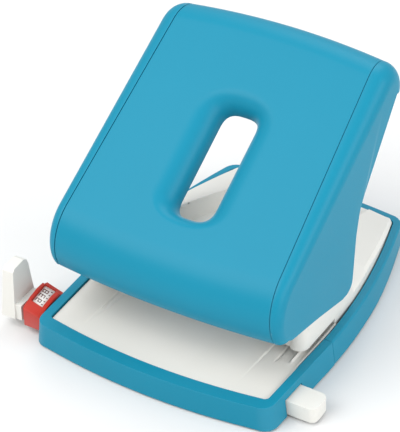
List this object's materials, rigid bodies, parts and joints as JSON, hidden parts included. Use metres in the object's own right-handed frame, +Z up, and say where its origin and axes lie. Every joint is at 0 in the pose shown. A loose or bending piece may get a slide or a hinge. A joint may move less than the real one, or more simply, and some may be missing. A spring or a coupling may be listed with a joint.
{
  "type": "hole punch",
  "caption": "Desk hole punch with a sloping lever handle, a finger slot, a paper deck, a sliding paper guide with a window, and a chip tray that pulls out.",
  "frame": {"origin": "on the desk surface, under the middle of the whole part's plan at rest (the line midway between the two punched holes is 3.35 mm towards +X from it and 1.3 mm towards +Y)", "axes": "+Z up, -Y towards the side where paper is pushed in, +X towards the side opposite the paper guide's paddle"},
  "size_m": [0.1464, 0.1476, 0.1123],
  "materials": {
    "blue_plastic": "satin",
    "white_plastic": "satin",
    "red_plastic": "glossy",
    "printed_strip": "matte",
    "steel": "zinc plated",
    "tool_steel": "ground",
    "rubber": "matte"
  },
  "bodies": {
    "base": {"base_shell": "blue_plastic", "front_feet": "rubber", "base_plate": "steel", "deck": "white_plastic", "die_strip": "steel", "upper_body": "white_plastic", "frame_left": "steel", "frame_right": "steel", "pin_bush_left": "steel", "pin_bush_right": "steel", "axle_left": "steel", "axle_right": "steel", "frame_screws": "steel", "plate_screws": "steel", "format_window": "red_plastic"},
    "handle": {"handle_panel": "blue_plastic", "handle_cap_left": "blue_plastic", "handle_cap_right": "blue_plastic", "lever_arm_left": "steel", "lever_arm_right": "steel", "handle_screws": "steel"},
    "pin_left": {"punch_pin_left": "tool_steel", "spring_washer_left": "steel", "return_spring_left": "tool_steel"},
    "pin_right": {"punch_pin_right": "tool_steel", "spring_washer_right": "steel", "return_spring_right": "tool_steel"},
    "guide": {"guide_bar": "white_plastic", "guide_paddle": "white_plastic", "guide_end": "white_plastic", "scale_strip": "printed_strip"},
    "tray": {"chip_tray": "blue_plastic", "rear_feet": "rubber"}
  },
  "joints": [
    {"name": "handle_press", "type": "hinge", "parent": "base", "child": "handle", "pos_m": [0.00335, -0.0427, 0.044], "axis": [-1, 0, 0], "range_deg": [0, 12.5], "stiffness_Nm_per_rad": 3, "springref_deg": -5.73},
    {"name": "pin_left_slide", "type": "slide", "parent": "base", "child": "pin_left", "axis": [0, 0, -1], "range_m": [0, 0.0056], "deforming": ["return_spring_left"]},
    {"name": "pin_right_slide", "type": "slide", "parent": "base", "child": "pin_right", "axis": [0, 0, -1], "range_m": [0, 0.0056], "deforming": ["return_spring_right"]},
    {"name": "guide_slide", "type": "slide", "parent": "base", "child": "guide", "axis": [-1, 0, 0], "range_m": [0, 0.095]},
    {"name": "tray_slide", "type": "slide", "parent": "base", "child": "tray", "axis": [0, 1, 0], "range_m": [0, 0.05]}
  ],
  "couplings": [
    {"joint": "pin_left_slide", "follows": "handle_press", "m_per_rad": 0.0251},
    {"joint": "pin_right_slide", "follows": "handle_press", "m_per_rad": 0.0251}
  ]
}
